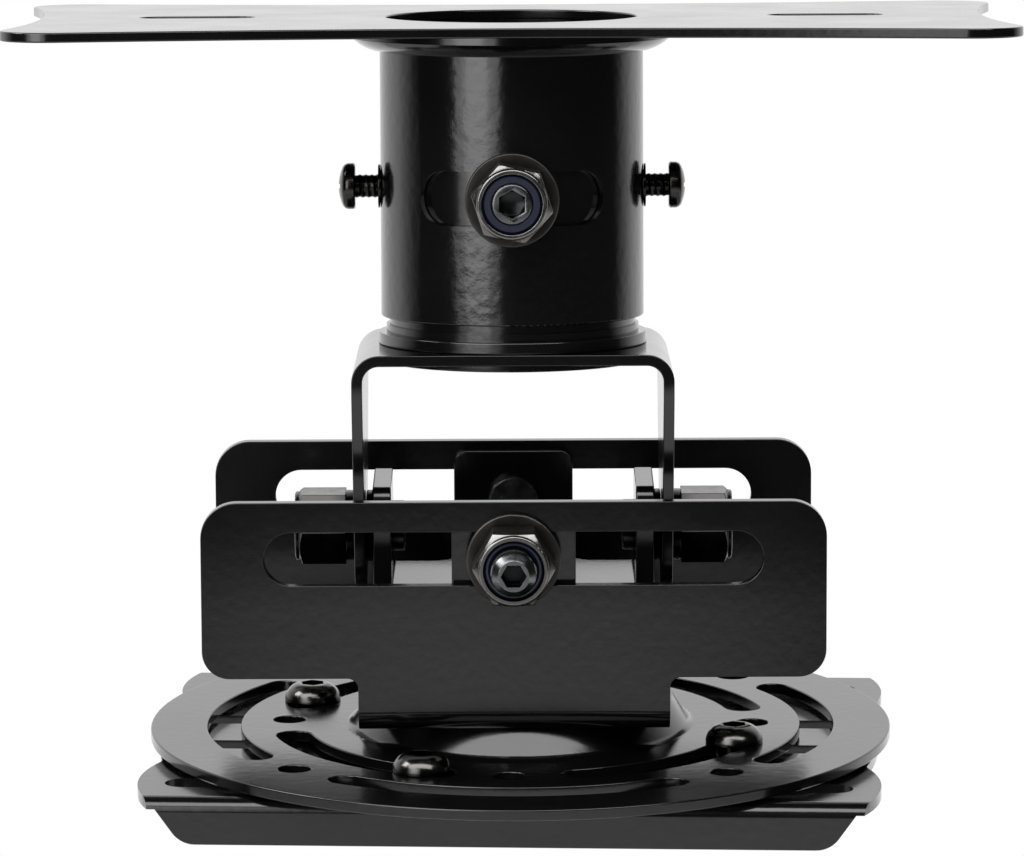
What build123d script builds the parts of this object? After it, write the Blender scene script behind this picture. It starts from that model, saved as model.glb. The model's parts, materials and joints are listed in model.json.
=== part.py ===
from build123d import *
import math
import os

# Projector ceiling mount, in millimetres, +Z up.
# The origin is the centre of the ceiling plate's top face. The front is towards -Y.

# Pose shown: the head nods forward, the disc and the interface plate are turned clockwise.
head_nod = 3.8
disc_turn = -2.8
interface_turn = -3.3

# Clearances
turn_gap = 0.3
seat_gap = 0.1
pin_play = 0.16
edge_break = 0.3

# Ceiling plate
ceiling_t = 1.8
ceiling_lobe_x = 81.5
ceiling_lobe_y = 41.0
ceiling_lobe_r = 9.0
ceiling_waist = 42.0
ceiling_notch = 86.0
cable_hole_d = 46.0
wing_slot_x = 57.5
wing_slot_length = 21.0
wing_slot_w = 6.5

# Collar pipe under the plate
collar_d = 48.3
collar_wall = 1.2
collar_bottom = -54.8
collar_slot_w = 9.9
collar_slot_half_angle = 31.5
clamp_z = -31.8
weld_foot = 5.0
weld_rim = 2.0
weld_depth = 4.4
weld_bulge_out = 3.2
weld_bulge_down = 3.4

# Side lock screws and their inserts
lock_screw_d = 4.0
lock_head_d = 8.5
lock_head_h = 3.1
lock_crown_r = 8.5
lock_shoulder_r = 1.3
recess_length = 4.4
recess_w = 1.0
recess_depth = 1.4
lock_stand_off = 4.2
lock_z = -31.1
insert_flange_d = 8.0
insert_flange_t = 0.4
insert_body_d = 6.0

# Swivel tube, its rings and the yoke
tube_wall = 2.0
tube_top = -9.0
ring_d = 49.4
ring_h = 3.6
ring_step_d = 46.4
ring_step_h = 1.4
ring_drop = 1.5
retaining_t = 1.2
retaining_lip = 3.5
yoke_t = 2.0
yoke_w = 58.4
yoke_depth = 50.0
yoke_bend_r = 5.0
yoke_shoulder = 6.0
leg_end_r = 12.0

# Tilt and roll axes cross at this height
pivot_z = -94.0

# Gimbal cross, heights from the axes
gimbal_t = 3.4
gimbal_strap_w = 22.4
gimbal_tab_top = 9.0
gimbal_floor = -9.0
gimbal_bend_r = 4.0
gimbal_corner_r = 2.5
gimbal_inner_r = 4.0
yoke_to_wall = 3.8
spacer_t = 1.2

# M8 studs, high lock nuts and washers of the three clamped joints
stud_d = 8.0
stud_head_d = 9.3
stud_head_h = 2.4
stud_chamfer = 1.2
stud_socket_flats = 4.0
stud_socket_depth = 3.0
hex_flats = 13.0
hex_face_d = 12.7
hex_chamfer_angle = 30.0
nut_hex_h = 8.6
nut_h = 9.4
nut_crown_wall = 0.9
nut_crown_r = 0.4
nut_lip = 0.6
nylon_h = 2.4
nylon_chamfer = 0.5
nylon_uncut_d = 6.8
insert_bore_play = 0.2
washer_d = 17.0
washer_t = 1.6
small_washer_d = 13.2
washer_play = 0.4
yaw_tip_out = -3.2
tilt_tip_out = -0.4
roll_tip_out = 4.5
yaw_nut_spin = -12.0
flat_up_turn = 30.0

# Slide bracket, heights from the axes
bracket_t = 2.3
bracket_w = 112.8
bracket_top = 10.4
wall_bottom = -22.0
bracket_foot = -32.1
bracket_tab_w = 56.4
bracket_bend_r = 4.0
bracket_top_r = 6.5
bracket_low_r = 5.0
bracket_inner_r = 2.0
slide_slot_length = 90.0
slide_slot_w = 9.8

# Hub disc
disc_offset = 1.1
disc_d = 137.2
disc_t = 2.0
boss_h = 5.1
boss_top_d = 52.0
boss_foot_d = 63.0
boss_blend_r = 2.5
inner_slot_r = 43.0
inner_slot_w = 6.6
inner_slot_half_angle = 28.0
inner_hole_d = 6.0
outer_slot_r = 55.0
outer_slot_w = 6.2
outer_slot_half_angle = 32.0
outer_hole_d = 6.0
quarter = 90.0

# Interface plate and its screws
plate_gap = 0.6
interface_t = 2.0
interface_depth = 104.0
interface_drop = 8.4
interface_bend_r = 2.6
flange_length = 128.0
flange_taper = 6.0
flange_corner_r = 5.0
corner_lobe_w = 134.0
corner_lobe_y = 39.0
notch_w = 128.6
notch_y = 23.5
notch_r = 3.0
side_bump_w = 133.0
arm_slot_y = 40.0
arm_slot_length = 18.0
arm_slot_w = 6.5
side_slot_y = 10.0
side_slot_length = 15.0
slot_margin = 5.0
interface_hole_d = 40.0
screw_d = 5.9
screw_turn = 65.5
screw_head_d = 10.5
screw_head_h = 3.3
screw_rim_h = 0.5
screw_dome_r = 4.5
screw_dome_h = 2.2
screw_socket_flats = 4.0
screw_socket_depth = 2.0
spacer_washer_d = 13.0
clinch_flats = 10.0
clinch_h = 3.0

# Worked out from the sizes above
collar_r = collar_d / 2
collar_bore_r = collar_r - collar_wall
tube_r = collar_bore_r - turn_gap
tube_bore_r = tube_r - tube_wall
ring_top = collar_bottom - ring_drop
yoke_top = ring_top - ring_h
yoke_under = yoke_top - yoke_t
leg_outer = yoke_w / 2
leg_inner = leg_outer - yoke_t
tilt_tab_outer = leg_inner - spacer_t - 2 * seat_gap
tilt_tab_inner = tilt_tab_outer - gimbal_t
wall_inner = yoke_depth / 2 + yoke_to_wall
wall_outer = wall_inner + bracket_t
roll_tab_outer = wall_inner - turn_gap
roll_tab_inner = roll_tab_outer - gimbal_t
pin_hole_d = stud_d + pin_play
nylon_r = hex_face_d / 2 - nut_crown_wall
nylon_cut_d = stud_d + insert_bore_play
disc_top = bracket_foot - boss_h
disc_under = disc_top - disc_t
interface_top = disc_under - plate_gap
interface_under = interface_top - interface_t
arm_slot_x = (corner_lobe_w - arm_slot_length) / 2 - slot_margin
side_slot_x = (side_bump_w - side_slot_length) / 2 - slot_margin
through = 4 * bracket_w

nod = Pos(0, 0, pivot_z) * Rot(head_nod, 0, 0)
FRONT = Rot(90, 0, 0)
REAR = Rot(-90, 0, 0)
RIGHT = Rot(0, 90, 0)
LEFT = Rot(0, -90, 0)


def annulus(outer_r, inner_r, z_top, height):
    """A flat ring, its top face at z_top."""
    face = Circle(outer_r) - Circle(inner_r)
    return Pos(0, 0, z_top - height) * extrude(face, height)


def outer_rims(ring):
    """The two outer edges of a flat ring."""
    return ring.edges().filter_by(GeomType.CIRCLE).sort_by(SortBy.RADIUS)[-2:]


def channel(width, height, wall, bend_r):
    """Section of a sheet folded to an upright U, its outer foot at the origin, in the sketch plane."""
    outer = Pos(0, height) * Rectangle(width, 2 * height)
    outer = fillet(outer.vertices().group_by(Axis.Y)[0], bend_r)
    inner = Pos(0, height + wall) * Rectangle(width - 2 * wall, 2 * height)
    inner = fillet(inner.vertices().group_by(Axis.Y)[0], bend_r - wall)
    keep = Pos(0, height / 2) * Rectangle(2 * width, height)
    return (outer - inner) & keep


def along_y(face, depth):
    """A front-view sketch (x, z) made solid, centred on y = 0."""
    return extrude(Plane.XZ * face, depth / 2, both=True)


def along_x(face, width):
    """A side-view sketch (y, z) made solid, centred on x = 0."""
    return extrude(Plane.YZ * face, width / 2, both=True)


def front_and_rear(piece, distance, height):
    """Two copies on the Y axis, each pointing outwards."""
    front = Pos(0, -distance, height) * FRONT * piece
    rear = Pos(0, distance, height) * REAR * piece
    return [front, rear]


def left_and_right(piece, distance, height):
    """Two copies on the X axis, each pointing outwards."""
    right = Pos(distance, 0, height) * RIGHT * piece
    left = Pos(-distance, 0, height) * LEFT * piece
    return [right, left]


def four_round(piece, radius, first_angle):
    """Four copies on a circle, a quarter turn apart."""
    return [Rot(0, 0, first_angle + quarter * k) * Pos(radius, 0, 0) * piece for k in range(4)]


def hexagon(flats):
    return RegularPolygon(flats / 2, 6, major_radius=False)


def hex_block(flats, face_d, height):
    """A hexagon block on z = 0 with its upper corners turned off to a round face."""
    corner_r = flats / math.sqrt(3)
    inset = corner_r - face_d / 2
    blank = Cylinder(corner_r, height, align=(Align.CENTER, Align.CENTER, Align.MIN))
    rise = inset * math.tan(math.radians(hex_chamfer_angle))
    blank = chamfer(blank.edges().sort_by(Axis.Z)[-1], rise, inset)
    return extrude(hexagon(flats), height) & blank


def socket_stud(length):
    """A stud with a low round head under z = 0 and a hexagon socket in its tip at z = length."""
    shank = Cylinder(stud_d / 2, length, align=(Align.CENTER, Align.CENTER, Align.MIN))
    shank = chamfer(shank.edges().sort_by(Axis.Z)[-1], stud_chamfer)
    head = Cylinder(stud_head_d / 2, stud_head_h, align=(Align.CENTER, Align.CENTER, Align.MAX))
    head = chamfer(head.edges().sort_by(Axis.Z)[0], edge_break)
    socket = Pos(0, 0, length - stud_socket_depth) * extrude(hexagon(stud_socket_flats), stud_socket_depth)
    return shank + head - socket


def lock_nut():
    """A high locking nut, seated on z = 0, with a short round crown that holds the nylon ring."""
    crown = Cylinder(hex_face_d / 2, nut_h, align=(Align.CENTER, Align.CENTER, Align.MIN))
    crown = fillet(crown.edges().sort_by(Axis.Z)[-1], nut_crown_r)
    bore = Cylinder(pin_hole_d / 2, through)
    floor = nut_h - nut_lip - nylon_h
    pocket = Pos(0, 0, floor) * Cylinder(nylon_r, nut_h, align=(Align.CENTER, Align.CENTER, Align.MIN))
    return hex_block(hex_flats, hex_face_d, nut_hex_h) + crown - bore - pocket


def lock_nut_insert(bore_d):
    """The nylon ring inside a locking nut's crown; its bore is small until the stud has cut through it."""
    ring = annulus(nylon_r, bore_d / 2, nut_h - nut_lip, nylon_h)
    top_rims = ring.edges().filter_by(GeomType.CIRCLE).group_by(Axis.Z)[-1]
    return chamfer(top_rims, nylon_chamfer)


def plain_washer(outer_d, thickness):
    """A flat washer for the M8 studs, lying on z = 0."""
    washer = annulus(outer_d / 2, (stud_d + washer_play) / 2, thickness, thickness)
    return fillet(outer_rims(washer), edge_break)


def lobe_touch(lobe_along, lobe_across, lobe_r, waist):
    """Where a corner lobe meets the shallow concave arc that runs across the middle at waist."""
    step = waist - lobe_across
    arc_r = (lobe_along**2 + step**2 - lobe_r**2) / (2 * (lobe_r - step))
    toward = Vector(-lobe_along, waist + arc_r - lobe_across)
    return toward.normalized()


def mirrored(point, side, end):
    """A point of the first quarter of a plan, moved to another quarter by the signs side and end."""
    return (side * point.X, end * point.Y)


def ceiling_plate():
    """Sheet with four corner lobes joined by shallow arcs, a cable hole and two wing slots."""
    to_waist = lobe_touch(ceiling_lobe_x, ceiling_lobe_y, ceiling_lobe_r, ceiling_waist)
    swapped = lobe_touch(ceiling_lobe_y, ceiling_lobe_x, ceiling_lobe_r, ceiling_notch)
    to_notch = Vector(swapped.Y, swapped.X)
    outward = (to_waist + to_notch).normalized()
    centre = Vector(ceiling_lobe_x, ceiling_lobe_y)
    waist_end = centre + to_waist * ceiling_lobe_r
    lobe_tip = centre + outward * ceiling_lobe_r
    notch_end = centre + to_notch * ceiling_lobe_r

    arcs = []
    for side, end in ((1, 1), (1, -1), (-1, 1), (-1, -1)):
        lobe = [mirrored(point, side, end) for point in (waist_end, lobe_tip, notch_end)]
        arcs.append(ThreePointArc(*lobe))
    for sign in (1, -1):
        waist = (mirrored(waist_end, -1, sign), (0, sign * ceiling_waist), mirrored(waist_end, 1, sign))
        notch = (mirrored(notch_end, sign, -1), (sign * ceiling_notch, 0), mirrored(notch_end, sign, 1))
        arcs.append(ThreePointArc(*waist))
        arcs.append(ThreePointArc(*notch))
    face = make_face(arcs) - Circle(cable_hole_d / 2)
    for sign in (1, -1):
        face -= Pos(sign * wing_slot_x, 0) * SlotOverall(wing_slot_length, wing_slot_w)
    plate = Pos(0, 0, -ceiling_t) * extrude(face, ceiling_t)
    rim = plate.edges().filter_by(Plane.XY)
    return fillet(rim, edge_break)


def radial_slot(width, half_angle, inner_r, outer_r):
    """A cutter for a slot round a pipe, facing -Y, with round ends."""
    depth = outer_r - inner_r
    middle_r = (inner_r + outer_r) / 2
    section = Plane.XZ * Pos(middle_r, 0) * Rectangle(depth, width)
    band = revolve(section, Axis.Z, 2 * half_angle)
    band = Rot(0, 0, -90 - half_angle) * band
    for sign in (1, -1):
        band += Rot(0, 0, sign * half_angle) * Pos(0, -middle_r, 0) * FRONT * Cylinder(width / 2, depth)
    return band


def collar_tube():
    """Pipe with an arc slot at the front and the rear and two holes for the inserts."""
    tube = annulus(collar_r, collar_bore_r, -ceiling_t, -ceiling_t - collar_bottom)
    bottom_rims = tube.edges().filter_by(GeomType.CIRCLE).group_by(Axis.Z)[0]
    tube = fillet(bottom_rims.sort_by(SortBy.RADIUS)[-1], edge_break)
    slot = radial_slot(collar_slot_w, collar_slot_half_angle, tube_bore_r, collar_r + washer_t)
    for turn in (0, 180):
        tube -= Pos(0, 0, clamp_z) * Rot(0, 0, turn) * slot
    tube -= Pos(0, 0, lock_z) * RIGHT * Cylinder(insert_body_d / 2, through)
    return tube


def collar_weld():
    """Full, rounded weld bead between the plate's underside and the pipe."""
    inner = (collar_r, -ceiling_t)
    foot = (collar_r + weld_foot, -ceiling_t)
    rim = (collar_r + weld_foot, -ceiling_t - weld_rim)
    bulge = (collar_r + weld_bulge_out, -ceiling_t - weld_bulge_down)
    toe = (collar_r, -ceiling_t - weld_depth)
    outline = [Line(inner, foot), Line(foot, rim), ThreePointArc(rim, bulge, toe), Line(toe, inner)]
    return revolve(Plane.XZ * make_face(outline), Axis.Z)


def rivet_nuts():
    """Threaded inserts with a thin flange that follows the collar."""
    reach = collar_r - collar_bore_r
    flange = Cylinder(insert_flange_d / 2, 2 * reach, align=(Align.CENTER, Align.CENTER, Align.MAX))
    flange = Pos(0, 0, collar_r + insert_flange_t) * flange
    body = Cylinder((insert_body_d - pin_play) / 2, reach, align=(Align.CENTER, Align.CENTER, Align.MIN))
    body = Pos(0, 0, collar_bore_r + turn_gap) * body
    bore = Cylinder((lock_screw_d + pin_play) / 2, through)
    saddle = RIGHT * Cylinder(collar_r + seat_gap, through)
    insert = (flange - saddle) + body
    return left_and_right(insert - bore, 0, lock_z)


def lock_screws():
    """Pan-head screws with a cross recess, backed out so that their heads stand off the collar."""
    tip = collar_bore_r + turn_gap
    seat = collar_r + insert_flange_t + lock_stand_off
    shank = Cylinder(lock_screw_d / 2, seat - tip, align=(Align.CENTER, Align.CENTER, Align.MIN))
    shank = chamfer(shank.edges().sort_by(Axis.Z)[0], edge_break)
    head_r = lock_head_d / 2

    def crown_at(x):
        return (x, lock_head_h - lock_crown_r + math.sqrt(lock_crown_r**2 - x**2))

    outline = [
        Line((0, 0), (head_r - edge_break, 0)),
        Line((head_r - edge_break, 0), (head_r, edge_break)),
        Line((head_r, edge_break), crown_at(head_r)),
        ThreePointArc(crown_at(head_r), crown_at(head_r / 2), crown_at(0)),
        Line(crown_at(0), (0, 0)),
    ]
    outline = make_face(outline)
    shoulder = outline.vertices().filter_by(lambda v: v.X > head_r - edge_break / 2).sort_by(Axis.Y)[-1]
    head = revolve(Plane.XZ * fillet(shoulder, lock_shoulder_r), Axis.Z)
    for turn in (0, quarter):
        head -= Pos(0, 0, lock_head_h) * Rot(0, 0, turn) * Box(recess_length, recess_w, 2 * recess_depth)
    screw = Pos(0, 0, tip) * shank + Pos(0, 0, seat) * head
    return left_and_right(screw, 0, lock_z)


def swivel_tube():
    """Inner pipe, drilled for the two clamp studs, standing through the yoke."""
    tube = annulus(tube_r, tube_bore_r, tube_top, tube_top - yoke_under)
    return tube - Pos(0, 0, clamp_z) * FRONT * Cylinder(pin_hole_d / 2, through)


def swivel_ring():
    """Stepped ring welded round the inner pipe, on the yoke."""
    ring = annulus(ring_d / 2, tube_r, ring_top - ring_step_h, ring_h - ring_step_h)
    ring = fillet(outer_rims(ring), edge_break)
    step = annulus(ring_step_d / 2, tube_r, ring_top, ring_step_h)
    return ring + step


def retaining_ring():
    """Ring under the yoke that holds the inner pipe."""
    flat_r = leg_outer - yoke_bend_r - seat_gap
    ring = annulus(flat_r, tube_r - retaining_lip, yoke_under, retaining_t)
    return fillet(ring.edges().group_by(Axis.Z)[0], edge_break)


def yoke():
    """Strap folded to a U, open downwards, with legs that taper to round ends at the tilt axis."""
    height = yoke_top - pivot_z + leg_end_r
    section = Pos(0, yoke_top) * Rot(0, 0, 180) * channel(yoke_w, height, yoke_t, yoke_bend_r)
    strap = along_y(section, yoke_depth)
    block_h = yoke_t + yoke_shoulder
    shoulder = Pos(0, yoke_top - block_h / 2) * Rectangle(yoke_depth, block_h)
    leg_end = Pos(0, pivot_z) * Circle(leg_end_r)
    side_view = make_hull(shoulder.edges() + leg_end.edges())
    strap &= along_x(side_view, 2 * yoke_w)
    strap -= Cylinder(tube_r, -2 * yoke_under)
    return strap - Pos(0, 0, pivot_z) * RIGHT * Cylinder(pin_hole_d / 2, through)


def yaw_stack():
    """Studs, washers, nuts and nylon rings that clamp the inner pipe in the collar slots."""
    head_seat = math.sqrt(tube_bore_r**2 - (stud_head_d / 2) ** 2) - seat_gap
    washer_seat = collar_r + turn_gap
    nut_seat = washer_seat + washer_t
    stud = socket_stud(nut_seat + nut_h + yaw_tip_out - head_seat)
    spin = Rot(0, 0, yaw_nut_spin)
    return {
        "yaw_studs": front_and_rear(stud, head_seat, clamp_z),
        "yaw_washers": front_and_rear(plain_washer(washer_d, washer_t), washer_seat, clamp_z),
        "yaw_nuts": front_and_rear(spin * lock_nut(), nut_seat, clamp_z),
        "yaw_nut_inserts": front_and_rear(lock_nut_insert(nylon_uncut_d), nut_seat, clamp_z),
    }


def gimbal_cross():
    """Cross of two folded straps, four tabs up, drilled for the tilt and the roll studs."""
    foot = gimbal_floor - gimbal_t
    height = gimbal_tab_top - foot
    across = channel(2 * tilt_tab_outer, height, gimbal_t, gimbal_bend_r)
    fore_aft = channel(2 * roll_tab_outer, height, gimbal_t, gimbal_bend_r)
    tilt_strap = along_y(Pos(0, foot) * across, gimbal_strap_w)
    roll_strap = along_x(Pos(0, foot) * fore_aft, gimbal_strap_w)
    tilt_strap = fillet(tilt_strap.edges().filter_by(Axis.X).group_by(Axis.Z)[-1], gimbal_corner_r)
    roll_strap = fillet(roll_strap.edges().filter_by(Axis.Y).group_by(Axis.Z)[-1], gimbal_corner_r)
    cross = tilt_strap + roll_strap
    reach = gimbal_strap_w / 2 + edge_break
    inner_corners = cross.edges().filter_by(Axis.Z).filter_by(
        lambda e: abs(e.center().X) < reach and abs(e.center().Y) < reach
    )
    cross = fillet(inner_corners, gimbal_inner_r)
    cross -= RIGHT * Cylinder(pin_hole_d / 2, through)
    return cross - FRONT * Cylinder(pin_hole_d / 2, through)


def tilt_stack():
    """Studs, spacers, washers, nuts and nylon rings of the tilt axis, heads inside the tabs."""
    washer_seat = leg_outer + seat_gap
    nut_seat = washer_seat + washer_t
    stud = socket_stud(nut_seat + nut_h + tilt_tip_out - tilt_tab_inner)
    flat_up = Rot(0, 0, flat_up_turn)
    return {
        "tilt_studs": left_and_right(flat_up * stud, tilt_tab_inner, 0),
        "tilt_spacers": left_and_right(plain_washer(small_washer_d, spacer_t), tilt_tab_outer + seat_gap, 0),
        "tilt_washers": left_and_right(plain_washer(small_washer_d, washer_t), washer_seat, 0),
        "tilt_nuts": left_and_right(flat_up * lock_nut(), nut_seat, 0),
        "tilt_nut_inserts": left_and_right(lock_nut_insert(nylon_cut_d), nut_seat, 0),
    }


def roll_stack():
    """Studs, washers, nuts and nylon rings of the roll axis, heads inside the tabs."""
    head_seat = roll_tab_inner - seat_gap
    washer_seat = wall_outer + seat_gap
    nut_seat = washer_seat + washer_t
    stud = socket_stud(nut_seat + nut_h + roll_tip_out - head_seat)
    return {
        "roll_studs": front_and_rear(stud, head_seat, 0),
        "roll_washers": front_and_rear(plain_washer(washer_d, washer_t), washer_seat, 0),
        "roll_nuts": front_and_rear(lock_nut(), nut_seat, 0),
        "roll_nut_inserts": front_and_rear(lock_nut_insert(nylon_cut_d), nut_seat, 0),
    }


def slide_bracket():
    """U bracket: two wide slotted walls, front and rear, on a narrower foot."""
    height = bracket_top - bracket_foot
    section = Pos(0, bracket_foot) * channel(2 * wall_outer, height, bracket_t, bracket_bend_r)
    folded = along_x(section, bracket_w)
    wall_h = bracket_top - wall_bottom
    wall = Pos(0, bracket_top - wall_h / 2) * Rectangle(bracket_w, wall_h)
    wall = fillet(wall.vertices().group_by(Axis.Y)[-1], bracket_top_r)
    wall = fillet(wall.vertices().group_by(Axis.Y)[0], bracket_low_r)
    tab = Pos(0, bracket_foot / 2) * Rectangle(bracket_tab_w, -bracket_foot)
    front_view = wall + tab
    inner_corners = front_view.vertices().filter_by(
        lambda v: abs(v.Y - wall_bottom) < edge_break and abs(v.X) < bracket_tab_w / 2 + edge_break
    )
    front_view = fillet(inner_corners, bracket_inner_r)
    front_view -= SlotOverall(slide_slot_length, slide_slot_w)
    return folded & along_y(front_view, through)


def arc_slots(radius, width, half_angle, first_angle):
    """Four arc slots on a circle, a quarter turn apart."""
    slots = []
    for k in range(4):
        start = first_angle + quarter * k - half_angle
        slots.append(SlotArc(CenterArc((0, 0), radius, start, 2 * half_angle), width))
    return slots


def hub_disc():
    """Pressed disc: a hollow cone boss in the middle, two rings of arc slots and round holes."""
    boss_top = bracket_foot
    half_top = boss_top_d / 2
    half_foot = boss_foot_d / 2
    lean = math.atan2(boss_h, half_foot - half_top)
    inset = disc_t * math.tan(lean / 2)
    section = Polyline(
        (0, boss_top),
        (half_top, boss_top),
        (half_foot, disc_top),
        (disc_d / 2, disc_top),
        (disc_d / 2, disc_under),
        (half_foot - inset, disc_under),
        (half_top - inset, boss_top - disc_t),
        (0, boss_top - disc_t),
        close=True,
    )
    face = make_face(section)
    bends = face.vertices().filter_by(lambda v: half_top - 2 * disc_t < v.X < half_foot + disc_t)
    face = fillet(bends, boss_blend_r)
    rim = face.vertices().filter_by(lambda v: v.X > disc_d / 2 - edge_break)
    face = fillet(rim, edge_break)
    disc = revolve(Plane.XZ * face, Axis.Z)
    half_quarter = quarter / 2
    openings = arc_slots(inner_slot_r, inner_slot_w, inner_slot_half_angle, half_quarter)
    openings += arc_slots(outer_slot_r, outer_slot_w, outer_slot_half_angle, 0)
    openings += four_round(Circle(inner_hole_d / 2), inner_slot_r, 0)
    openings += four_round(Circle(outer_hole_d / 2), outer_slot_r, half_quarter)
    for opening in openings:
        disc -= Pos(0, 0, disc_under - disc_t) * extrude(opening, 3 * disc_t)
    return Rot(0, 0, disc_turn) * disc


def interface_outline():
    """Plan of the interface plate: straight front and rear edges, a round lobe at each corner."""
    corner = Vector(flange_length / 2, interface_depth / 2)
    lobe = Vector(corner_lobe_w / 2, corner_lobe_y)
    notch = Vector(notch_w / 2, notch_y)
    bump = Vector(side_bump_w / 2, 0)
    lines = []
    for sign in (1, -1):
        for end in (1, -1):
            lines.append(ThreePointArc(*[mirrored(point, sign, end) for point in (corner, lobe, notch)]))
        side = (mirrored(notch, sign, 1), mirrored(bump, sign, 1), mirrored(notch, sign, -1))
        lines.append(ThreePointArc(*side))
        lines.append(Line(mirrored(corner, -1, sign), mirrored(corner, 1, sign)))
    face = make_face(lines)
    notches = face.vertices().filter_by(lambda v: abs(v.Y) < corner_lobe_y)
    return fillet(notches, notch_r)


def interface_plate():
    """Plate with a flange folded down along its front and rear edge and slots for arms."""
    section = channel(interface_depth, interface_drop, interface_t, interface_bend_r)
    folded = along_x(Pos(0, interface_top) * Rot(0, 0, 180) * section, 2 * flange_length)
    half_top = flange_length / 2
    half_low = half_top - flange_taper
    low = interface_top - interface_drop
    flange = Polyline(
        (-half_top, interface_top), (half_top, interface_top), (half_low, low), (-half_low, low), close=True
    )
    flange = make_face(flange)
    flange = fillet(flange.vertices().group_by(Axis.Y)[0], flange_corner_r)
    sheet = Pos(0, interface_top - interface_t / 2) * Rectangle(2 * flange_length, interface_t)
    folded &= along_y(flange + sheet, 2 * interface_depth)
    plan = interface_outline()
    for side in (1, -1):
        for end in (1, -1):
            plan -= Pos(side * arm_slot_x, end * arm_slot_y) * SlotOverall(arm_slot_length, arm_slot_w)
            plan -= Pos(side * side_slot_x, end * side_slot_y) * SlotOverall(side_slot_length, arm_slot_w)
    plan -= Circle(interface_hole_d / 2)
    for hole in four_round(Circle((screw_d + pin_play) / 2), inner_slot_r, screw_turn - interface_turn):
        plan -= hole
    plate = folded & Pos(0, 0, interface_top - through / 2) * extrude(plan, through)
    return Rot(0, 0, interface_turn) * plate


def interface_screw_set():
    """Button-head screws through the inner slots, with spacers and clinch nuts."""
    seat = disc_top + seat_gap
    tip = interface_under - clinch_h
    shank = Cylinder(screw_d / 2, seat - tip, align=(Align.CENTER, Align.CENTER, Align.MAX))
    head_r = screw_head_d / 2
    crown_r = screw_socket_flats / math.sqrt(3) + edge_break
    dome = [
        Line((0, 0), (head_r, 0)),
        Line((head_r, 0), (head_r, screw_rim_h)),
        ThreePointArc((head_r, screw_rim_h), (screw_dome_r, screw_dome_h), (crown_r, screw_head_h)),
        Line((crown_r, screw_head_h), (0, screw_head_h)),
        Line((0, screw_head_h), (0, 0)),
    ]
    head = revolve(Plane.XZ * make_face(dome), Axis.Z)
    socket = Pos(0, 0, screw_head_h - screw_socket_depth) * extrude(hexagon(screw_socket_flats), through)
    screw = Pos(0, 0, seat) * (head - socket + shank)
    gap = plate_gap - seat_gap
    spacer = annulus(spacer_washer_d / 2, (screw_d + washer_play) / 2, interface_top + gap, gap)
    clinch = hex_block(clinch_flats, clinch_flats, clinch_h) - Cylinder((screw_d + pin_play) / 2, through)
    clinch = Pos(0, 0, interface_under) * Rot(180, 0, 0) * clinch
    return {
        "interface_screws": four_round(screw, inner_slot_r, screw_turn),
        "spacer_washers": four_round(spacer, inner_slot_r, screw_turn),
        "clinch_nuts": four_round(clinch, inner_slot_r, screw_turn),
    }


def write(name, pieces):
    """One file for one node; a group of like fasteners stays separate solids."""
    shape = Compound(children=pieces) if isinstance(pieces, list) else pieces
    export_step(shape, f"parts/{name}.step")


def placed(place, pieces):
    """A piece, or a list of pieces, moved to its place."""
    if isinstance(pieces, list):
        return [place * piece for piece in pieces]
    return place * pieces


os.makedirs("parts", exist_ok=True)

level_pieces = {
    "ceiling_plate": ceiling_plate(),
    "collar_tube": collar_tube(),
    "collar_weld": collar_weld(),
    "rivet_nuts": rivet_nuts(),
    "lock_screws": lock_screws(),
    "swivel_tube": swivel_tube(),
    "swivel_ring": swivel_ring(),
    "retaining_ring": retaining_ring(),
    "yoke": yoke(),
    **yaw_stack(),
}
head_pieces = {
    "gimbal_cross": gimbal_cross(),
    **tilt_stack(),
    **roll_stack(),
    "slide_bracket": slide_bracket(),
}
disc_pieces = {
    "hub_disc": hub_disc(),
    "interface_plate": interface_plate(),
    **interface_screw_set(),
}
for node, made in level_pieces.items():
    write(node, made)
for node, made in head_pieces.items():
    write(node, placed(nod, made))
for node, made in disc_pieces.items():
    write(node, placed(nod * Pos(disc_offset, 0, 0), made))
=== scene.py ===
import json
import math
from contextlib import contextmanager

import bpy
from mathutils import Matrix, Vector

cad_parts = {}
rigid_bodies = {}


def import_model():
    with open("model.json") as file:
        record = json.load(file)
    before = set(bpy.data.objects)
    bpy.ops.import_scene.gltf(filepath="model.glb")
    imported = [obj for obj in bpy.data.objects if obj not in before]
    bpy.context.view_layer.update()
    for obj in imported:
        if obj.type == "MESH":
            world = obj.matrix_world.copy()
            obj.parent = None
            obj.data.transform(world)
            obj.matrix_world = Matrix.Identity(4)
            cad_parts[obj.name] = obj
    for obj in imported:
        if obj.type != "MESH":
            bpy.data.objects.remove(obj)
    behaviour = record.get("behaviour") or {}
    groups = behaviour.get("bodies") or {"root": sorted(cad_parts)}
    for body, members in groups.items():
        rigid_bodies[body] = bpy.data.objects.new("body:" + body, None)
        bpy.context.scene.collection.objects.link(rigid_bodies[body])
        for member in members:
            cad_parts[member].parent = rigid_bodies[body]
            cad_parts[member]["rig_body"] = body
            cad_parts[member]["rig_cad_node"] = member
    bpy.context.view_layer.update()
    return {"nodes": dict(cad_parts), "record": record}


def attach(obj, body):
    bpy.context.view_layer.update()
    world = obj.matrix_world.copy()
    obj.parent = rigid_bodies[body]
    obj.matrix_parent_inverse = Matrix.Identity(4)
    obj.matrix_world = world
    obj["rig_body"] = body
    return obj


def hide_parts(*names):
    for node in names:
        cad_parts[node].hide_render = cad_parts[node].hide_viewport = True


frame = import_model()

mm = 0.001


# Colours and node trees

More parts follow.
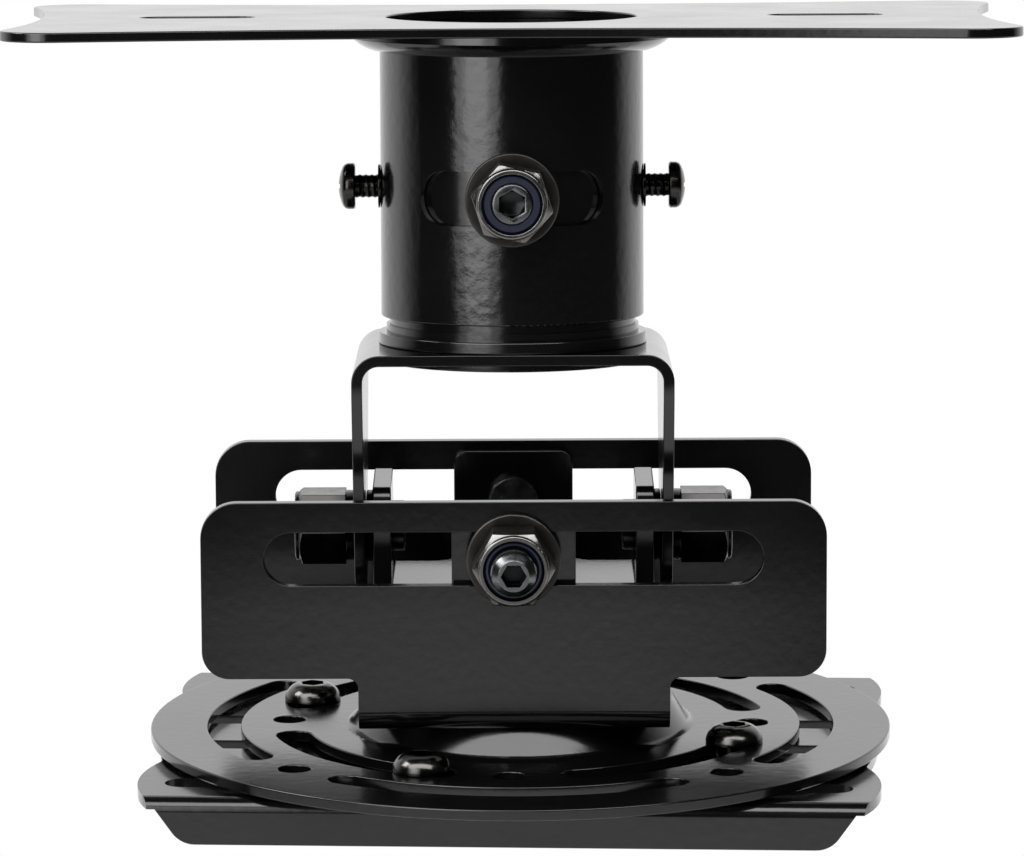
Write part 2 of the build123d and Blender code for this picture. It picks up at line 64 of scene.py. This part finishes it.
def linear(hex_colour):
    """An sRGB hex colour as linear red, green, blue and alpha."""
    channels = [int(hex_colour[i:i + 2], 16) / 255 for i in (1, 3, 5)]
    return [c / 12.92 if c <= 0.04045 else ((c + 0.055) / 1.055) ** 2.4 for c in channels] + [1.0]


def add_node(tree, kind, inputs=None, **settings):
    """Adds one node: settings are its own properties, inputs are values or the sockets that feed it."""
    node = tree.nodes.new(kind)
    for name, value in settings.items():
        setattr(node, name, value)
    for name, value in (inputs or {}).items():
        if isinstance(value, bpy.types.NodeSocket):
            tree.links.new(value, node.inputs[name])
        else:
            node.inputs[name].default_value = value
    return node


def new_material(name):
    """An empty material, its node tree, and the place on the piece in millimetres."""
    material = bpy.data.materials.new(name)
    material.use_nodes = True
    tree = material.node_tree
    tree.nodes.clear()
    place = add_node(tree, "ShaderNodeTexCoord").outputs["Object"]
    place_mm = add_node(tree, "ShaderNodeVectorMath", {0: place, "Scale": 1 / mm}, operation="SCALE")
    return material, tree, place_mm.outputs[0]


def wall_sag(tree, place):
    """How far the tight nuts draw the bracket's walls in, as a negative height in millimetres. It shows as shading
    only: a bend that grows above the calm line, and a slower one towards the ends, more at the right end."""
    calm_z, top_sag, end_sag, right_sag = -106.0, 0.00110, 0.0000085, 0.00012
    split = add_node(tree, "ShaderNodeSeparateXYZ", {0: place})
    rise = add_node(tree, "ShaderNodeMath", {0: split.outputs["Z"], 1: calm_z}, operation="SUBTRACT")
    upper = add_node(tree, "ShaderNodeMath", {0: rise.outputs[0], 1: 0.0}, operation="MAXIMUM")
    square = add_node(tree, "ShaderNodeMath", {0: upper.outputs[0], 1: 2.0}, operation="POWER")
    bend = add_node(tree, "ShaderNodeMath", {0: split.outputs["X"], 1: end_sag, 2: right_sag},
                    operation="MULTIPLY_ADD")
    twist = add_node(tree, "ShaderNodeMath", {0: split.outputs["X"], 1: bend.outputs[0]}, operation="MULTIPLY")
    ends = add_node(tree, "ShaderNodeMath", {0: twist.outputs[0], 1: rise.outputs[0]}, operation="MULTIPLY")
    total = add_node(tree, "ShaderNodeMath", {0: square.outputs[0], 1: top_sag, 2: ends.outputs[0]},
                     operation="MULTIPLY_ADD")
    return add_node(tree, "ShaderNodeMath", {0: total.outputs[0], 1: -1.0}, operation="MULTIPLY").outputs[0]


def powder_coat(name, peel_mm, sagging=False):
    """Black polyester powder coat baked on steel: deep black seen straight on, a white mirror at a low angle, with
    an orange peel of a millimetre or two, peel_mm high, that makes the edges of every reflection wander."""
    peel_scale, grit_scale, cloud_scale = 0.55, 3.2, 0.05  # waves of 1.8 mm, grains of 0.3 mm, patches of 20 mm
    grit_share = 0.12
    material, tree, place = new_material(name)
    peel = add_node(tree, "ShaderNodeTexNoise", {"Vector": place, "Scale": peel_scale, "Detail": 2.0,
                                                 "Roughness": 0.4})
    grit = add_node(tree, "ShaderNodeTexNoise", {"Vector": place, "Scale": grit_scale, "Detail": 1.0})
    cloud = add_node(tree, "ShaderNodeTexNoise", {"Vector": place, "Scale": cloud_scale, "Detail": 3.0})
    roughness = add_node(tree, "ShaderNodeMapRange", {"Value": cloud.outputs["Fac"], "From Min": 0.3,
                                                      "From Max": 0.7, "To Min": 0.14, "To Max": 0.18})
    tint = add_node(tree, "ShaderNodeMix", {"Factor": cloud.outputs["Fac"], 6: linear("#050506"),
                                            7: linear("#080809")}, data_type="RGBA")
    coat = add_node(tree, "ShaderNodeMath", {0: grit.outputs["Fac"], 1: grit_share, 2: peel.outputs["Fac"]},
                    operation="MULTIPLY_ADD")
    sag = wall_sag(tree, place) if sagging else 0.0
    relief = add_node(tree, "ShaderNodeMath", {0: coat.outputs[0], 1: peel_mm, 2: sag}, operation="MULTIPLY_ADD")
    bump = add_node(tree, "ShaderNodeBump", {"Height": relief.outputs[0], "Strength": 1.0, "Distance": mm})
    shader = add_node(tree, "ShaderNodeBsdfPrincipled", {"Base Color": tint.outputs[2], "IOR": 1.55,
                                                         "Roughness": roughness.outputs[0],
                                                         "Normal": bump.outputs[0]})
    add_node(tree, "ShaderNodeOutputMaterial", {"Surface": shader.outputs[0]})
    return material


def plated_steel(name, dark, light, smooth, dull):
    """Cold-formed steel under a thin plated or oxidised skin: dark straight on, quick thin glints on turned
    edges and hexagon corners, cloudy patches where the skin is thinner, and painted shade that darkens the
    recesses."""
    cloud_scale, grain_scale = 0.5, 5.0  # patches of 2 mm, grain of 0.2 mm
    recess = 5.0 * mm
    material, tree, place = new_material(name)
    cloud = add_node(tree, "ShaderNodeTexNoise", {"Vector": place, "Scale": cloud_scale, "Detail": 4.0})
    grain = add_node(tree, "ShaderNodeTexNoise", {"Vector": place, "Scale": grain_scale, "Detail": 2.0})
    tint = add_node(tree, "ShaderNodeMix", {"Factor": cloud.outputs["Fac"], 6: linear(dark), 7: linear(light)},
                    data_type="RGBA")
    roughness = add_node(tree, "ShaderNodeMapRange", {"Value": cloud.outputs["Fac"], "From Min": 0.3,
                                                      "From Max": 0.7, "To Min": smooth, "To Max": dull})
    # Painted shade: ambient occlusion, squared, mixes the tint towards #060606 in recesses and between parts
    open_sky = add_node(tree, "ShaderNodeAmbientOcclusion", {"Distance": recess}, samples=8)
    unshaded_share = add_node(tree, "ShaderNodeMath", {0: open_sky.outputs["AO"], 1: 2.0}, operation="POWER")
    painted_recess_shade = add_node(tree, "ShaderNodeMix", {"Factor": unshaded_share.outputs[0], 6: linear("#060606"),
                                             7: tint.outputs[2]}, data_type="RGBA")
    bump = add_node(tree, "ShaderNodeBump", {"Height": grain.outputs["Fac"], "Strength": 0.4,
                                             "Distance": 0.02 * mm})
    shader = add_node(tree, "ShaderNodeBsdfPrincipled", {"Base Color": painted_recess_shade.outputs[2], "Metallic": 1.0,
                                                         "Roughness": roughness.outputs[0],
                                                         "Normal": bump.outputs[0]})
    add_node(tree, "ShaderNodeOutputMaterial", {"Surface": shader.outputs[0]})
    return material


def blue_nylon():
    """Dyed nylon of the locking rings: dark blue, waxy, a little uneven where the thread cut it."""
    cut_scale = 1.2  # unevenness of 0.8 mm
    material, tree, place = new_material("blue_nylon")
    cloud = add_node(tree, "ShaderNodeTexNoise", {"Vector": place, "Scale": cut_scale, "Detail": 3.0})
    tint = add_node(tree, "ShaderNodeMix", {"Factor": cloud.outputs["Fac"], 6: linear("#0d101a"),
                                            7: linear("#181e31")}, data_type="RGBA")
    bump = add_node(tree, "ShaderNodeBump", {"Height": cloud.outputs["Fac"], "Strength": 0.5,
                                             "Distance": 0.05 * mm})
    shader = add_node(tree, "ShaderNodeBsdfPrincipled", {"Base Color": tint.outputs[2], "Roughness": 0.30,
                                                         "IOR": 1.53, "Normal": bump.outputs[0]})
    add_node(tree, "ShaderNodeOutputMaterial", {"Surface": shader.outputs[0]})
    return material


# One finish for each slot of the record
finishes = {
    "powder_coated_steel": powder_coat("powder_coated_steel", 0.016),
    "black_oxide_steel": plated_steel("black_oxide_steel", "#31302f", "#403e3d", 0.14, 0.22),
    "zinc_plated_steel": plated_steel("zinc_plated_steel", "#5f6062", "#747577", 0.18, 0.28),
    "blue_nylon": blue_nylon(),
}
# The collar's thicker coat peels more, and the bracket's follows its walls, which the nuts draw in
pipe_coat = powder_coat("powder_coated_pipe", 0.045)
wall_coat = powder_coat("powder_coated_walls", 0.016, sagging=True)
# Spanners burnish the nuts and rub the screw heads; the stamped washers stay dull
burnished = plated_steel("burnished_oxide_steel", "#6a6968", "#807f7d", 0.18, 0.28)
stamped = plated_steel("stamped_oxide_steel", "#45423f", "#57534f", 0.36, 0.46)
rubbed = plated_steel("rubbed_oxide_steel", "#4a4948", "#5d5c5a", 0.12, 0.24)
own_finish = {
    "collar_tube": pipe_coat, "slide_bracket": wall_coat, "yaw_nuts": burnished, "roll_nuts": burnished,
    "yaw_washers": stamped, "roll_washers": stamped, "interface_screws": rubbed,
}
slot_of = {part["node"]: part["material_slot"] for part in frame["record"]["subparts"]}
body_of = {node: body for body, nodes in frame["record"]["behaviour"]["bodies"].items() for node in nodes}


def dress(piece, node):
    """Gives a piece its CAD node's finish, the node's own or its record slot's, and the body the node belongs to.
    """
    piece.data.materials.clear()
    piece.data.materials.append(own_finish.get(node, finishes[slot_of[node]]))
    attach(piece, body_of[node])


# Steps that the pieces share

def only(piece):
    """Selects one object and makes it active."""
    bpy.ops.object.select_all(action="DESELECT")
    piece.select_set(True)
    bpy.context.view_layer.objects.active = piece


def apply_modifier(piece, kind, **settings):
    """Adds a modifier to a piece and applies it."""
    modifier = piece.modifiers.new(kind.lower(), kind)
    for name, value in settings.items():
        setattr(modifier, name, value)
    only(piece)
    bpy.ops.object.modifier_apply(modifier=modifier.name)


def start_model(name, primitive, **settings):
    """Adds the primitive that a model is shaped from, with nothing else selected."""
    bpy.ops.object.select_all(action="DESELECT")
    primitive(**settings)
    model = bpy.context.object
    model.name = name
    return model


@contextmanager
def shaping(model, kind="VERT", chosen=None):
    """Edit mode on the active model, with all of it selected, or only the chosen vertices or faces by number."""
    bpy.ops.object.mode_set(mode="EDIT")
    bpy.ops.mesh.select_mode(type=kind)
    bpy.ops.mesh.select_all(action="SELECT" if chosen is None else "DESELECT")
    if chosen is not None:
        bpy.ops.object.mode_set(mode="OBJECT")
        elements = model.data.polygons if kind == "FACE" else model.data.vertices
        for number in chosen:
            elements[number].select = True
        bpy.ops.object.mode_set(mode="EDIT")
    yield
    bpy.ops.object.mode_set(mode="OBJECT")


def smooth_below(degrees):
    """Smooth shading on the active model, with edges sharper than this kept."""
    bpy.ops.object.shade_smooth_by_angle(angle=math.radians(degrees))


def stand_copies(model, node, stands):
    """Copies a finished model to its named places, each copy with its own mesh, and dresses the copies."""
    for name, stand in stands.items():
        piece = model.copy()
        piece.data = model.data.copy()
        piece.name = name
        bpy.context.scene.collection.objects.link(piece)
        piece.data.transform(stand)
        dress(piece, node)
    bpy.data.objects.remove(model)


def both_sides(name, base, axis, reach, labels):
    """The two places of a fastener's end, as far out as reach on either side of base, named for their sides."""
    outward = {label: Matrix.Rotation(side * math.pi / 2, 4, axis) for side, label in zip((1, -1), labels)}
    return {name + "_" + label: base @ turn @ Matrix.Translation((0, 0, reach)) for label, turn in outward.items()}


# Pieces

def edged(node, edge_mm):
    """The CAD node's own shape with its sheet edges rounded, shown in the node's place."""
    weld_gap, flat_angle, corner_angle = 0.002 * mm, math.radians(0.4), math.radians(38)
    piece = frame["nodes"][node].copy()
    piece.data = piece.data.copy()
    piece.parent = None
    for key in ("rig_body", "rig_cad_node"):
        del piece[key]
    piece.name = node + "_finished"
    bpy.context.scene.collection.objects.link(piece)
    only(piece)
    with shaping(piece):
        bpy.ops.mesh.customdata_custom_splitnormals_clear()
        bpy.ops.mesh.remove_doubles(threshold=weld_gap)
        bpy.ops.mesh.dissolve_limited(angle_limit=flat_angle)
    if edge_mm:
        apply_modifier(piece, "BEVEL", width=edge_mm * mm, segments=3, limit_method="ANGLE",
                       angle_limit=corner_angle, use_clamp_overlap=True, loop_slide=False)
    smooth_below(35)
    apply_modifier(piece, "WEIGHTED_NORMAL", keep_sharp=True, weight=80)
    dress(piece, node)
    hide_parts(node)


def thread_ridge(radius, crest, pitch, turns):
    """One rolled thread: a lozenge swept round the screw's axis."""
    half_foot = 0.42 * pitch
    steps = round(28 * turns)
    model = start_model("thread_model", bpy.ops.mesh.primitive_circle_add, vertices=4, radius=1.0)
    with shaping(model):
        bpy.ops.transform.resize(value=(crest, half_foot, 1.0))
        bpy.ops.transform.rotate(value=math.radians(90), orient_axis="X", center_override=(0, 0, 0))
        bpy.ops.transform.translate(value=(radius, 0, 0))
    apply_modifier(model, "SCREW", axis="Z", angle=math.tau * turns, screw_offset=pitch * turns, steps=steps,
                   render_steps=steps, use_merge_vertices=True)
    with shaping(model):
        bpy.ops.mesh.fill_holes(sides=4)
        bpy.ops.mesh.normals_make_consistent(inside=False)
    smooth_below(40)
    return model


def boss_flank():
    """The pressed flank of the disc's boss, spun from its section, with a fillet at the crest and the foot."""
    crest_z, foot_z, inner_r, toe_r = -32.1, -37.195, 25.1, 32.45
    lean, fillet_r, skin = math.radians(57), 1.8, 0.5
    spin_steps = 144
    tangent = fillet_r * math.tan(lean / 2)
    foot_r = toe_r - tangent
    crest_r = foot_r - (crest_z - foot_z) / math.tan(lean)
    section = [(inner_r, crest_z), (crest_r, crest_z), (foot_r, foot_z), (toe_r, foot_z), (toe_r, foot_z - skin),
               (inner_r, crest_z - skin)]
    model = start_model("flank_model", bpy.ops.mesh.primitive_plane_add, size=1.0)
    with shaping(model):
        bpy.ops.mesh.merge(type="CENTER")
        bpy.ops.transform.translate(value=(inner_r * mm, 0.0, crest_z * mm))
        for (last_r, last_z), (r, z) in zip(section, section[1:]):
            step = ((r - last_r) * mm, 0.0, (z - last_z) * mm)
            bpy.ops.mesh.extrude_vertices_move(TRANSFORM_OT_translate={"value": step})
        bpy.ops.mesh.select_all(action="SELECT")
        bpy.ops.mesh.edge_face_add()
    crest_and_foot = (1, 2)  # their numbers in the section
    with shaping(model, chosen=crest_and_foot):
        bpy.ops.mesh.bevel(offset=tangent * mm, segments=10, affect="VERTICES")
        bpy.ops.mesh.select_all(action="SELECT")
        bpy.ops.mesh.delete(type="ONLY_FACE")
    apply_modifier(model, "SCREW", axis="Z", angle=math.tau, screw_offset=0.0, steps=spin_steps,
                   render_steps=spin_steps, use_merge_vertices=True)
    with shaping(model):
        bpy.ops.mesh.normals_make_consistent(inside=False)
    smooth_below(30)
    return model


def stud_end():
    """The end of a yaw stud as it shows inside the locking ring: chamfered, with a hexagon socket."""
    stud_r, length, chamfer = 3.95 * mm, 2.8 * mm, 0.5 * mm
    socket_r, socket_depth, worn_edge = 2.65 * mm, 2.8 * mm, 0.1 * mm
    socket = start_model("socket_model", bpy.ops.mesh.primitive_cylinder_add, vertices=6, radius=socket_r,
                         depth=2 * socket_depth, location=(0, 0, length / 2 + chamfer))
    model = start_model("stud_model", bpy.ops.mesh.primitive_cylinder_add, vertices=48, radius=stud_r, depth=length)
    end_face = [face.index for face in model.data.polygons if face.normal.z > 0.9]
    narrow = 1 - chamfer / stud_r
    with shaping(model, "FACE", end_face):
        bpy.ops.mesh.extrude_region_move(TRANSFORM_OT_translate={"value": (0, 0, chamfer)})
        bpy.ops.transform.resize(value=(narrow, narrow, 1.0))
    apply_modifier(model, "BOOLEAN", object=socket, operation="DIFFERENCE", solver="EXACT")
    bpy.data.objects.remove(socket)
    apply_modifier(model, "BEVEL", width=worn_edge, segments=2, limit_method="ANGLE", angle_limit=math.radians(40))
    smooth_below(35)
    return model


# Width of the rounded edges of each CAD node in millimetres, 0 where the solid's own edges serve
edge_sizes = {
    "ceiling_plate": 0, "collar_tube": 0.22, "collar_weld": 0, "rivet_nuts": 0.15, "lock_screws": 0.12,
    "swivel_tube": 0.2, "swivel_ring": 0, "retaining_ring": 0, "yoke": 0.3, "yaw_studs": 0.12,
    "yaw_washers": 0.12, "yaw_nuts": 0.15, "yaw_nut_inserts": 0, "gimbal_cross": 0.35, "tilt_studs": 0.12,
    "tilt_spacers": 0, "tilt_washers": 0.12, "tilt_nuts": 0.15, "tilt_nut_inserts": 0, "roll_studs": 0.12,
    "roll_washers": 0.12, "roll_nuts": 0.15, "roll_nut_inserts": 0, "slide_bracket": 0.35, "hub_disc": 0.25,
    "interface_plate": 0.3, "interface_screws": 0.15, "spacer_washers": 0.1, "clinch_nuts": 0.15,
}
for node, edge_mm in edge_sizes.items():
    edged(node, edge_mm)

# Where the lock screws, the yaw clamps and the nodding head sit, and how far out their visible ends begin
lock_level = Matrix.Translation((0, 0, -31.1 * mm))
clamp_level = Matrix.Translation((0, 0, -31.8 * mm))
pivot = Matrix.Translation((0, 0, -94 * mm)) @ Matrix.Rotation(math.radians(3.8), 4, "X")
disc_centre = pivot @ Matrix.Translation((1.1 * mm, 0, 0))
lock_reach, roll_reach, clamp_reach = 24.6 * mm, 41.6 * mm, 33.1 * mm

# Threads that can be seen: on the backed-out lock screws and on the ends of the roll studs
stand_copies(thread_ridge(radius=2.0 * mm, crest=0.17 * mm, pitch=1.1 * mm, turns=3.6), "lock_screws",
             both_sides("lock_thread", lock_level, "Y", lock_reach, ("right", "left")))
stand_copies(thread_ridge(radius=3.95 * mm, crest=0.2 * mm, pitch=1.25 * mm, turns=2.9), "roll_studs",
             both_sides("roll_thread", pivot, "X", roll_reach, ("front", "rear")))
stand_copies(boss_flank(), "hub_disc", {"boss_flank": disc_centre})
stand_copies(stud_end(), "yaw_studs",
             both_sides("yaw_stud_end", clamp_level, "X", clamp_reach, ("front", "rear")))


# Floor, light and camera

def white_floor():
    """A plain pale floor well below the hanging mount."""
    floor = start_model("floor", bpy.ops.mesh.primitive_plane_add, size=3.0, location=(0, 0, -1.2))
    material, tree, _ = new_material("white_floor")
    shader = add_node(tree, "ShaderNodeBsdfDiffuse", {"Color": linear("#f4f4f4")})
    add_node(tree, "ShaderNodeOutputMaterial", {"Surface": shader.outputs[0]})
    floor.data.materials.append(material)


def studio_world():
    """A white sweep behind the mount, a little further on its left, and below it, and an unlit room in front."""
    sweep_side = (-0.105, 1.0, 0.0)
    sweep_edge, sweep_full, room_level, sweep_level = 0.125, 0.575, 0.03, 1.15
    floor_edge, floor_full, floor_level = -0.17, -0.32, 1.08
    world = bpy.data.worlds.new("studio")
    bpy.context.scene.world = world
    world.use_nodes = True
    tree = world.node_tree
    tree.nodes.clear()
    direction = add_node(tree, "ShaderNodeTexCoord").outputs["Generated"]
    split = add_node(tree, "ShaderNodeSeparateXYZ", {0: direction})
    askew = add_node(tree, "ShaderNodeVectorMath", {0: direction, 1: sweep_side}, operation="DOT_PRODUCT")
    behind = add_node(tree, "ShaderNodeMapRange", {"Value": askew.outputs["Value"], "From Min": sweep_edge,
                                                   "From Max": sweep_full, "To Min": room_level,
                                                   "To Max": sweep_level})
    below = add_node(tree, "ShaderNodeMapRange", {"Value": split.outputs["Z"], "From Min": floor_edge,
                                                  "From Max": floor_full, "To Min": 0.0, "To Max": floor_level})
    sweep = add_node(tree, "ShaderNodeMath", {0: behind.outputs[0], 1: below.outputs[0]}, operation="MAXIMUM")
    path = add_node(tree, "ShaderNodeLightPath")
    level = add_node(tree, "ShaderNodeMix", {"Factor": path.outputs["Is Camera Ray"], 2: sweep.outputs[0], 3: 1.0})
    sky = add_node(tree, "ShaderNodeBackground", {"Color": (1, 1, 1, 1), "Strength": level.outputs[0]})
    add_node(tree, "ShaderNodeOutputWorld", {"Surface": sky.outputs[0]})


def softbox(name, place, aim, width, height, power):
    """A rectangular lamp at place that faces aim."""
    lamp = bpy.data.lights.new(name, "AREA")
    lamp.shape = "RECTANGLE"
    lamp.size = width
    lamp.size_y = height
    lamp.energy = power
    box = bpy.data.objects.new(name, lamp)
    box.location = place
    box.rotation_euler = (Vector(aim) - Vector(place)).to_track_quat("-Z", "Y").to_euler()
    bpy.context.scene.collection.objects.link(box)


def photo_camera():
    """Long lens, a little above the mount, as the photograph was taken."""
    lens = bpy.data.cameras.new("camera")
    lens.sensor_width = 36.0
    lens.sensor_fit = "HORIZONTAL"
    lens.lens = 220.6
    lens.clip_start = 0.05
    lens.clip_end = 60.0
    camera = bpy.data.objects.new("camera", lens)
    place = Vector((0.0, -1.150, 0.060))
    aim = Vector((-0.0002, 0.0, -0.076))
    view = (aim - place).to_track_quat("-Z", "Y").to_matrix().to_4x4()
    roll = Matrix.Rotation(math.radians(-0.27), 4, "Z")
    camera.matrix_world = Matrix.Translation(place) @ view @ roll
    bpy.context.scene.collection.objects.link(camera)
    bpy.context.scene.camera = camera


white_floor()
studio_world()
# The key has a brighter core, so that its stripe on the collar fades at the sides
softbox("key", (-0.87, -1.47, 0.34), aim=(0, 0, -0.07), width=1.30, height=1.2, power=11)
softbox("key_core", (-0.84, -1.42, 0.33), aim=(0, 0, -0.07), width=0.66, height=1.2, power=5)
softbox("top", (-0.1, -0.80, 0.85), aim=(0, 0, -0.10), width=2.2, height=0.6, power=21)
softbox("side", (-1.0, -0.10, 0.75), aim=(0, 0, -0.09), width=0.5, height=0.5, power=7)
photo_camera()
bpy.context.scene.view_settings.view_transform = "Standard"
